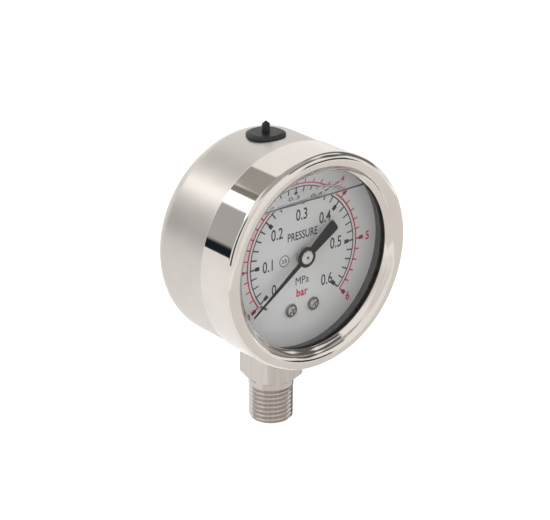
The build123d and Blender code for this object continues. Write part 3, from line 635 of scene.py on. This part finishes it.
def ink_shape(shape, corners):
    """One flat printed shape with the ink's own thickness."""
    front = dial_face - ink_lift - ink_depth
    back = dial_face - ink_lift
    top = [shape.verts.new((x, front, z)) for x, z in corners]
    low = [shape.verts.new((x, back, z)) for x, z in corners]
    shape.faces.new(top)
    shape.faces.new(low)
    for k in range(len(corners)):
        after = (k + 1) % len(corners)
        shape.faces.new((top[k], top[after], low[after], low[k]))


def ink_piece(name, shape, material):
    """Printed shapes of one colour, laid on the dial as one piece."""
    made = solid_from(name, shape)
    made.data.materials.append(material)
    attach(made, "housing")


def ink_arc(shape, radius, width, start, end):
    """A printed line round the dial, in stretches of three degrees."""
    for angle in range(start, end, 3):
        corners = [on_dial(radius - width / 2, angle + k) for k in (0, 1, 2, 3)]
        corners += [on_dial(radius + width / 2, angle + k) for k in (3, 2, 1, 0)]
        ink_shape(shape, corners)


def ink_scale(name, material, arc, arc_width, short, long):
    """An arc with its ticks, the numbered ones bolder and ending in a block."""
    shape = bmesh.new()
    ink_arc(shape, arc, arc_width, zero_angle, full_angle)
    out = 1 if short > arc else -1
    for angle in range(zero_angle, full_angle + 1, division):
        major = angle in numbered
        half = (bold_width if major else fine_width) / 2
        end = long if major else short
        corners = [(arc, -half), (end, -half), (end, half), (arc, half)]
        ink_shape(shape, [on_dial(r, angle, s) for r, s in corners])
        if major:
            start = long - out * bold_end_length
            wide = bold_end_width / 2
            corners = [(start, -half), (start + out * bold_end_taper, -wide), (long, -wide)]
            corners += [(long, wide), (start + out * bold_end_taper, wide), (start, half)]
            ink_shape(shape, [on_dial(r, angle, s) for r, s in corners])
    ink_piece(name, shape, material)


ink_scale("black_scale", black_ink, black_arc, black_arc_width, black_short, black_long)
ink_scale("red_scale", red_ink, red_arc, red_arc_width, red_short, red_long)


capital_share = 0.72


def ink_text(name, words, x, z, height, material, narrow=0.72, bold=0.0):
    """Printed figures, centred at a point measured right and up from the dial's axis."""
    curve = bpy.data.curves.new(name, "FONT")
    curve.body = words
    curve.size = height / capital_share
    curve.align_x = "CENTER"
    curve.align_y = "CENTER"
    curve.extrude = ink_depth / 2
    curve.offset = bold
    curve.space_character = 1.0 + 2 * bold / height
    curve.resolution_u = 6
    letters = bpy.data.objects.new(name, curve)
    bpy.context.scene.collection.objects.link(letters)
    bpy.context.view_layer.update()
    settled = letters.evaluated_get(bpy.context.evaluated_depsgraph_get())
    mesh = bpy.data.meshes.new_from_object(settled)
    bpy.data.objects.remove(letters)
    mesh.transform(Matrix.Diagonal((narrow, 1, 1, 1)))
    mesh.transform(Matrix.Rotation(pi / 2, 4, "X"))
    across = [vertex.co.x for vertex in mesh.vertices]
    upward = [vertex.co.z for vertex in mesh.vertices]
    mid_x = (min(across) + max(across)) / 2
    mid_z = (min(upward) + max(upward)) / 2
    middle = dial_face - ink_lift - ink_depth / 2
    mesh.transform(Matrix.Translation((x - mid_x, middle, axis_height + z - mid_z)))
    mesh.materials.clear()
    mesh.materials.append(material)
    made = bpy.data.objects.new(name, mesh)
    bpy.context.scene.collection.objects.link(made)
    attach(made, "housing")


figure_height = 3.7 * mm
# each figure with its radius in mm and its clock angle
black_figures = (
    ("0", 14.0, -128),
    ("0.1", 13.5, -91),
    ("0.2", 13.6, -47),
    ("0.3", 13.5, -2),
    ("0.4", 13.6, 40),
    ("0.5", 13.2, 86),
    ("0.6", 14.2, 136.6),
)
for words, radius, angle in black_figures:
    x, z = on_dial(radius * mm, angle)
    label = "figure_" + words.replace(".", "_")
    ink_text(label, words, x, z - axis_height, figure_height, black_ink, bold=0.06 * mm)
red_figure_radius = 26.0 * mm
red_figure_height = 2.8 * mm
for count, angle in enumerate(numbered):
    x, z = on_dial(red_figure_radius, angle)
    label = f"red_figure_{count}"
    ink_text(label, str(count), x, z - axis_height, red_figure_height, red_ink, 0.8, 0.10 * mm)
unit_height = 2.6 * mm
word_height = 2.7 * mm
ink_text("unit_inner", "MPa", 0, -8.1 * mm, unit_height, black_ink, 0.88)
ink_text("unit_outer", "bar", 0, -12.0 * mm, unit_height, red_ink, 0.88, 0.11 * mm)
ink_text("dial_word", "PRESSURE", 0, 6.9 * mm, word_height, black_ink, 0.70, 0.06 * mm)
class_x = -7.1 * mm
class_z = -0.15 * mm
class_height = 1.2 * mm
ink_text("class_figure", "2.5", class_x, class_z, class_height, black_ink, 0.85, 0.04 * mm)
class_inner = 1.65 * mm
class_outer = class_inner + 0.24 * mm
class_turns = 36
shape = bmesh.new()
for k in range(class_turns):
    corners = []
    for r, step in ((class_inner, k), (class_inner, k + 1), (class_outer, k + 1), (class_outer, k)):
        angle = 2 * pi * step / class_turns
        corners.append((class_x + r * sin(angle), axis_height + class_z + r * cos(angle)))
    ink_shape(shape, corners)
ink_piece("class_ring", shape, black_ink)

# Pointer. Stamped from aluminium sheet and enamelled dull black. Its ring is pressed on the
# boss.
pointer_paint, tree, shader, spot = new_material("pointer_paint")
orange_peel = place_group(tree, patches, spot, Size=1800.0, Low=0.2, High=0.8)
tint(shader, orange_peel.outputs["Mask"], dark=(0.006, 0.006, 0.007), light=(0.012, 0.012, 0.013))
shader.inputs["Specular IOR Level"].default_value = 0.03
sheen_range(shader, orange_peel.outputs["Mask"], smooth=0.45, rough=0.6)
roughen(shader, orange_peel.outputs["Mask"], strength=0.02, depth=grain_depth)
wear("pointer", pointer_paint)

# Boss, arbors, pins and posts. Bright steel turned on a lathe. The boss is pressed on the
# pinion's arbor, whose end shows in it, and the stop pin is riveted into the dial. The
# pinion is painted nearly black, a painted shade that makes the hole in the boss look dark.
turned_steel = ring_steel(
    "turned_steel",
    dark=(0.42, 0.40, 0.375),
    light=(0.48, 0.46, 0.435),
    smooth=0.24,
    rough=0.30,
    relief=0.01,
    across=5000.0,
    along=2.0,
    patch=300.0,
)
for node in ("pointer_hub", "stop_pin", "dial_posts", "plate_pillars", "sector_arbor"):
    wear(node, turned_steel)
for node in ("hairspring_collet", "hairspring_stud"):
    wear(node, turned_steel)
# painted shade: the pinion's steel is coloured nearly black so the hole in the boss looks dark
arbor_painted_shade = ring_steel(
    "arbor_painted_shade",
    dark=(0.06, 0.045, 0.035),
    light=(0.10, 0.08, 0.065),
    smooth=0.25,
    rough=0.40,
    relief=0.03,
    across=5000.0,
    along=2.0,
    patch=300.0,
)
wear("pinion", arbor_painted_shade)

# Screws. Dull plated steel: pan heads with a cross recess at the dial, slotted heads in the
# movement, shoulder screws at the link's ends, and the restrictor in the stem's bore.
screw_steel, tree, shader, spot = new_material("screw_steel")
shader.inputs["Metallic"].default_value = 1.0
plated = place_group(tree, patches, spot, Size=900.0, Low=0.3, High=0.75)
tint(shader, plated.outputs["Mask"], dark=(0.34, 0.33, 0.315), light=(0.42, 0.405, 0.39))
sheen_range(shader, plated.outputs["Mask"], smooth=0.30, rough=0.42)
roughen(shader, plated.outputs["Mask"], strength=0.02, depth=0.00003)
for node in ("dial_screws", "movement_screws", "plate_screws"):
    wear(node, screw_steel)
for node in ("link_sector_screw", "link_tip_screw", "restrictor_screw"):
    wear(node, screw_steel)

# Movement. Two bearing plates, the sector and the link, stamped from steel sheet. They keep
# its straight rolling grain.
sheet_grain, take, give = new_group(
    "sheet_grain",
    [("Vector", "v", (0, 0, 0)), ("Stretch", "v", (3000, 3000, 60)), ("Fineness", "f", 1.0)],
    [("Shade", "f"), ("Height", "f")],
)
pulled = put(sheet_grain, "ShaderNodeVectorMath", operation="MULTIPLY")
sheet_grain.links.new(take.outputs["Vector"], pulled.inputs[0])
sheet_grain.links.new(take.outputs["Stretch"], pulled.inputs[1])
lines = put(sheet_grain, "ShaderNodeTexNoise", Detail=4.0, Roughness=0.6)
sheet_grain.links.new(pulled.outputs[0], lines.inputs["Vector"])
sheet_grain.links.new(take.outputs["Fineness"], lines.inputs["Scale"])
sheet_grain.links.new(lines.outputs["Fac"], give.inputs["Shade"])
sheet_grain.links.new(lines.outputs["Fac"], give.inputs["Height"])


def sheet_steel(name, dark, light, smooth, rough, relief, stretch):
    """Steel with a straight grain."""
    material, tree, shader, spot = new_material(name)
    shader.inputs["Metallic"].default_value = 1.0
    grain = place_group(tree, sheet_grain, spot, Stretch=stretch)
    tint(shader, grain.outputs["Shade"], dark, light)
    sheen_range(shader, grain.outputs["Shade"], smooth, rough)
    roughen(shader, grain.outputs["Height"], relief, grain_depth)
    return material


movement_steel = sheet_steel(
    "movement_steel",
    dark=(0.54, 0.52, 0.49),
    light=(0.66, 0.64, 0.61),
    smooth=0.22,
    rough=0.38,
    relief=0.15,
    stretch=(4000, 4000, 90),
)
for node in ("movement_back_plate", "movement_front_plate", "sector_gear", "link"):
    wear(node, movement_steel)

# Tube and tip. Drawn stainless tube, flattened and bent round the dial's axis, brazed shut.
# In the gauge, pressure opens its curve and moves its free end with the tip; here the tube is a
# fixed copy of its solid.
tube_steel = ring_steel(
    "tube_steel",
    dark=(0.50, 0.48, 0.45),
    light=(0.62, 0.60, 0.57),
    smooth=0.25,
    rough=0.42,
    relief=0.12,
    across=2500.0,
    along=4.0,
    patch=90.0,
)
wear("bourdon_tip", tube_steel)
tube_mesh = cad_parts["bourdon_tube"].data.copy()
tube_mesh.materials.clear()
tube_mesh.materials.append(tube_steel)
tube = bpy.data.objects.new("tube_spring", tube_mesh)
bpy.context.scene.collection.objects.link(tube)
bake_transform(tube)
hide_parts("bourdon_tube")

# Hairspring. Thin hardened strip, rolled bright and wound into a flat spiral. Its ends are
# pinned in the collet and the stud.
spring_steel = ring_steel(
    "spring_steel",
    dark=(0.50, 0.47, 0.40),
    light=(0.60, 0.57, 0.50),
    smooth=0.18,
    rough=0.30,
    relief=0.05,
    across=6000.0,
    along=3.0,
    patch=500.0,
)
wear("hairspring", spring_steel)

# Stem. One stainless bar: turned thread and collar below, milled square above. Its flats
# keep the cutter's fine upright lines.
stem_steel = sheet_steel(
    "stem_steel",
    dark=(0.48, 0.445, 0.42),
    light=(0.66, 0.625, 0.595),
    smooth=0.12,
    rough=0.22,
    relief=0.05,
    stretch=(1100, 1100, 30),
)
wear("socket", stem_steel)

# Fill plug. Moulded in black rubber with a nib to pull it out by. It is pushed by hand into
# the hole on top of the case, through which the gauge is filled.
plug_rubber, tree, shader, spot = new_material("plug_rubber")
bloom = place_group(tree, patches, spot, Size=700.0, Low=0.3, High=0.8)
specks = place_group(tree, patches, spot, Size=3500.0, Low=0.62, High=0.70)
tint(shader, bloom.outputs["Mask"], dark=(0.008, 0.008, 0.009), light=(0.022, 0.022, 0.024))
sheen_range(shader, specks.outputs["Mask"], smooth=0.45, rough=0.75)
roughen(shader, bloom.outputs["Mask"], strength=0.3, depth=0.00005)
wear("fill_plug", plug_rubber)

low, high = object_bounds()
